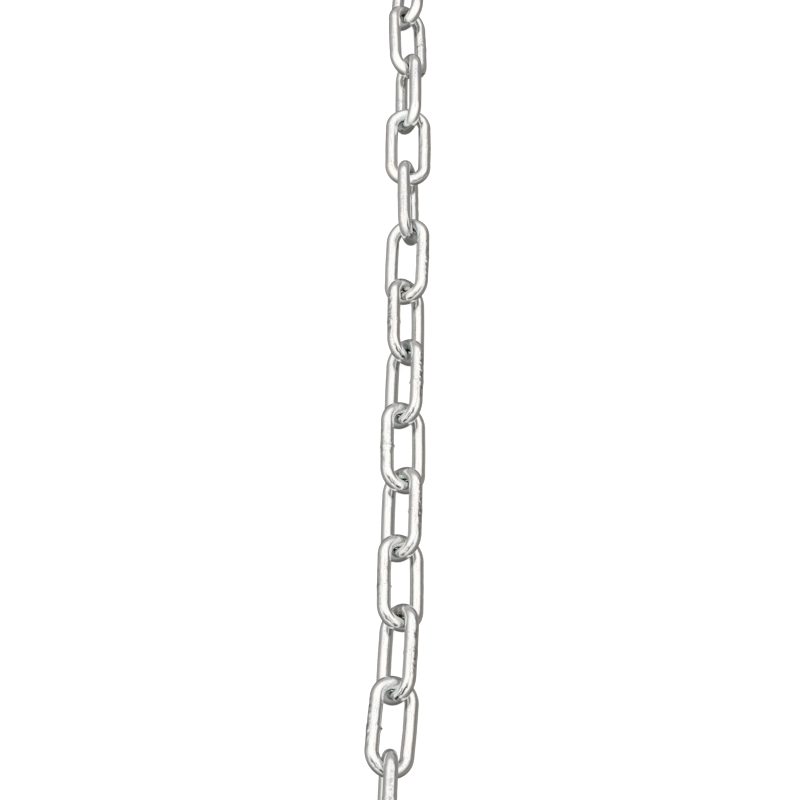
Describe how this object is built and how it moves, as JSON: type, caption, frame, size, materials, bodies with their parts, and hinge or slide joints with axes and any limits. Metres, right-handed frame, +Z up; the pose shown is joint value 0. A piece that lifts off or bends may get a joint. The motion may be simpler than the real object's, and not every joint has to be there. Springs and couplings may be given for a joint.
{
  "type": "length of welded steel chain",
  "caption": "Straight length of zinc-plated welded steel chain. Each oval link is threaded through the next and swings on its end bow.",
  "frame": {"origin": "on the floor that the chain lies on, under the middle of its length and width", "axes": "+Y along the chain from the first link to the last, +Z up, +X to the right of that"},
  "size_m": [0.0234, 0.9924, 0.0215],
  "materials": {
    "bright_zinc_plate": "bright zinc plate, smooth and fairly glossy"
  },
  "bodies": {
    "link_01": {"link_01": "bright_zinc_plate"},
    "link_02": {"link_02": "bright_zinc_plate"},
    "link_03": {"link_03": "bright_zinc_plate"},
    "link_04": {"link_04": "bright_zinc_plate"},
    "link_05": {"link_05": "bright_zinc_plate"},
    "link_06": {"link_06": "bright_zinc_plate"},
    "link_07": {"link_07": "bright_zinc_plate"},
    "link_08": {"link_08": "bright_zinc_plate"},
    "link_09": {"link_09": "bright_zinc_plate"},
    "link_10": {"link_10": "bright_zinc_plate"},
    "link_11": {"link_11": "bright_zinc_plate"},
    "link_12": {"link_12": "bright_zinc_plate"},
    "link_13": {"link_13": "bright_zinc_plate"},
    "link_14": {"link_14": "bright_zinc_plate"},
    "link_15": {"link_15": "bright_zinc_plate"},
    "link_16": {"link_16": "bright_zinc_plate"},
    "link_17": {"link_17": "bright_zinc_plate"},
    "link_18": {"link_18": "bright_zinc_plate"},
    "link_19": {"link_19": "bright_zinc_plate"},
    "link_20": {"link_20": "bright_zinc_plate"},
    "link_21": {"link_21": "bright_zinc_plate"},
    "link_22": {"link_22": "bright_zinc_plate"},
    "link_23": {"link_23": "bright_zinc_plate"},
    "link_24": {"link_24": "bright_zinc_plate"},
    "link_25": {"link_25": "bright_zinc_plate"},
    "link_26": {"link_26": "bright_zinc_plate"},
    "link_27": {"link_27": "bright_zinc_plate"},
    "link_28": {"link_28": "bright_zinc_plate"},
    "link_29": {"link_29": "bright_zinc_plate"},
    "link_30": {"link_30": "bright_zinc_plate"}
  },
  "joints": [
    {"name": "link_02_swing", "type": "hinge", "parent": "link_01", "child": "link_02", "pos_m": [0, -0.4544, 0.00847], "axis": [0.7071, 0, 0.7071], "range_deg": [-90, 90]},
    {"name": "link_03_swing", "type": "hinge", "parent": "link_02", "child": "link_03", "pos_m": [0, -0.4217, 0.00847], "axis": [0.7071, 0, -0.7071], "range_deg": [-90, 90]},
    {"name": "link_04_swing", "type": "hinge", "parent": "link_03", "child": "link_04", "pos_m": [0, -0.389, 0.00847], "axis": [-0.7071, 0, -0.7071], "range_deg": [-90, 90]},
    {"name": "link_05_swing", "type": "hinge", "parent": "link_04", "child": "link_05", "pos_m": [0, -0.3563, 0.00847], "axis": [-0.7071, 0, 0.7071], "range_deg": [-90, 90]},
    {"name": "link_06_swing", "type": "hinge", "parent": "link_05", "child": "link_06", "pos_m": [0, -0.3236, 0.00847], "axis": [0.7071, 0, 0.7071], "range_deg": [-90, 90]},
    {"name": "link_07_swing", "type": "hinge", "parent": "link_06", "child": "link_07", "pos_m": [0, -0.2909, 0.00847], "axis": [0.707, 0.0098, -0.7071], "range_deg": [-90, 90]},
    {"name": "link_08_swing", "type": "hinge", "parent": "link_07", "child": "link_08", "pos_m": [-0.0009, -0.25821, 0.00847], "axis": [-0.592, 0.013, -0.8059], "range_deg": [-90, 90]},
    {"name": "link_09_swing", "type": "hinge", "parent": "link_08", "child": "link_09", "pos_m": [-0.0021, -0.22561, 0.01077], "axis": [-0.9509, -0.0241, 0.3087], "range_deg": [-90, 90]},
    {"name": "link_10_swing", "type": "hinge", "parent": "link_09", "child": "link_10", "pos_m": [-0.0015, -0.19292, 0.01077], "axis": [0.2773, 0.0171, 0.9606], "range_deg": [-90, 90]},
    {"name": "link_11_swing", "type": "hinge", "parent": "link_10", "child": "link_11", "pos_m": [0.0005, -0.16035, 0.00857], "axis": [0.8299, -0.0535, -0.5553], "range_deg": [-90, 90]},
    {"name": "link_12_swing", "type": "hinge", "parent": "link_11", "child": "link_12", "pos_m": [0.0015, -0.12767, 0.00857], "axis": [-0.5876, 0.0023, -0.8091], "range_deg": [-90, 90]},
    {"name": "link_13_swing", "type": "hinge", "parent": "link_12", "child": "link_13", "pos_m": [0.0011, -0.09497, 0.00818], "axis": [-0.7853, -0.0015, 0.6191], "range_deg": [-90, 90]},
    {"name": "link_14_swing", "type": "hinge", "parent": "link_13", "child": "link_14", "pos_m": [0.0012, -0.06227, 0.00818], "axis": [0.6225, -0.0007, 0.7826], "range_deg": [-90, 90]},
    {"name": "link_15_swing", "type": "hinge", "parent": "link_14", "child": "link_15", "pos_m": [0.0007, -0.02958, 0.00842], "axis": [0.7986, 0.0052, -0.6018], "range_deg": [-90, 90]},
    {"name": "link_16_swing", "type": "hinge", "parent": "link_15", "child": "link_16", "pos_m": [0.0011, 0.00312, 0.00852], "axis": [-0.7132, -0.0002, -0.7009], "range_deg": [-90, 90]},
    {"name": "link_17_swing", "type": "hinge", "parent": "link_16", "child": "link_17", "pos_m": [0.0006, 0.03582, 0.00852], "axis": [-0.5739, -0.0323, 0.8183], "range_deg": [-90, 90]},
    {"name": "link_18_swing", "type": "hinge", "parent": "link_17", "child": "link_18", "pos_m": [0.001, 0.06844, 0.01065], "axis": [0.9368, -0.0051, 0.3499], "range_deg": [-90, 90]},
    {"name": "link_19_swing", "type": "hinge", "parent": "link_18", "child": "link_19", "pos_m": [0, 0.10113, 0.01065], "axis": [0.0872, -0.0034, -0.9962], "range_deg": [-90, 90]},
    {"name": "link_20_swing", "type": "hinge", "parent": "link_19", "child": "link_20", "pos_m": [-0.0004, 0.13382, 0.0102], "axis": [-0.9658, -0.0154, 0.2588], "range_deg": [-90, 90]},
    {"name": "link_21_swing", "type": "hinge", "parent": "link_20", "child": "link_21", "pos_m": [-0.0011, 0.16651, 0.0102], "axis": [-0.5215, -0.0339, -0.8525], "range_deg": [-90, 90]},
    {"name": "link_22_swing", "type": "hinge", "parent": "link_21", "child": "link_22", "pos_m": [-0.0026, 0.19916, 0.00896], "axis": [0.777, -0.0135, -0.6293], "range_deg": [-90, 90]},
    {"name": "link_23_swing", "type": "hinge", "parent": "link_22", "child": "link_23", "pos_m": [-0.0009, 0.23181, 0.00896], "axis": [0.6788, -0.0213, 0.734], "range_deg": [-90, 90]},
    {"name": "link_24_swing", "type": "hinge", "parent": "link_23", "child": "link_24", "pos_m": [0, 0.2645, 0.00847], "axis": [-0.7069, 0.015, 0.7071], "range_deg": [-90, 90]},
    {"name": "link_25_swing", "type": "hinge", "parent": "link_24", "child": "link_25", "pos_m": [0, 0.2972, 0.00847], "axis": [-0.7071, 0, -0.7071], "range_deg": [-90, 90]},
    {"name": "link_26_swing", "type": "hinge", "parent": "link_25", "child": "link_26", "pos_m": [0, 0.3299, 0.00847], "axis": [0.7071, 0, -0.7071], "range_deg": [-90, 90]},
    {"name": "link_27_swing", "type": "hinge", "parent": "link_26", "child": "link_27", "pos_m": [0, 0.3626, 0.00847], "axis": [0.7071, 0, 0.7071], "range_deg": [-90, 90]},
    {"name": "link_28_swing", "type": "hinge", "parent": "link_27", "child": "link_28", "pos_m": [0, 0.3953, 0.00847], "axis": [-0.7071, 0, 0.7071], "range_deg": [-90, 90]},
    {"name": "link_29_swing", "type": "hinge", "parent": "link_28", "child": "link_29", "pos_m": [0, 0.428, 0.00847], "axis": [-0.7071, 0, -0.7071], "range_deg": [-90, 90]},
    {"name": "link_30_swing", "type": "hinge", "parent": "link_29", "child": "link_30", "pos_m": [0, 0.4607, 0.00847], "axis": [0.7071, 0, -0.7071], "range_deg": [-90, 90]}
  ]
}
